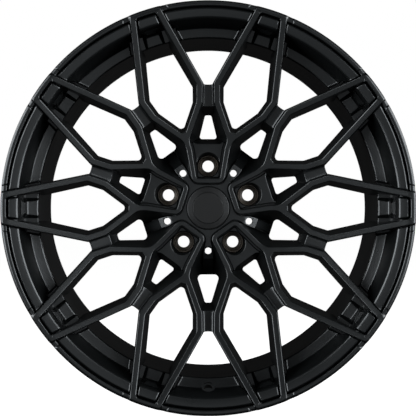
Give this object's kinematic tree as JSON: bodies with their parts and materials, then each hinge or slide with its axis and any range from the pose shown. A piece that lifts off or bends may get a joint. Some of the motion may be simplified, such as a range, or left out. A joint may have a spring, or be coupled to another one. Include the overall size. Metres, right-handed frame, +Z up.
{
  "type": "forged racing wheel rim",
  "caption": "Forged alloy wheel in satin black: a hub with bolt cradles carries paired ribs to a stepped lip and drop-well barrel, with steel bolt seats, centring ring and snap-in cap.",
  "frame": {"origin": "on the axle, at the middle of the rim's width", "axes": "+Y along the axle towards the vehicle, so the street side faces -Y; +Z up through one bolt"},
  "size_m": [0.5426, 0.254, 0.5426],
  "materials": {
    "centre_paint": "satin black paint",
    "barrel_paint": "satin black paint",
    "cap_plastic": "semi-gloss black",
    "inlay_metal": "dark satin",
    "spring_wire": "bare wire",
    "ring_metal": "anodised grey",
    "seat_steel": "turned, bare"
  },
  "bodies": {
    "wheel": {"forged_centre": "centre_paint", "rim_barrel": "barrel_paint", "bolt_seat_1": "seat_steel", "bolt_seat_2": "seat_steel", "bolt_seat_3": "seat_steel", "bolt_seat_4": "seat_steel", "bolt_seat_5": "seat_steel"},
    "cap": {"centre_cap": "cap_plastic", "cap_inlay": "inlay_metal", "cap_spring_ring": "spring_wire"},
    "centring_ring": {"hub_ring": "ring_metal"}
  },
  "joints": [
    {"name": "cap_pull", "type": "slide", "parent": "wheel", "child": "cap", "axis": [0, -1, 0], "range_m": [0, 0.06]},
    {"name": "centring_ring_pull", "type": "slide", "parent": "wheel", "child": "centring_ring", "axis": [0, 1, 0], "range_m": [0, 0.04]}
  ]
}
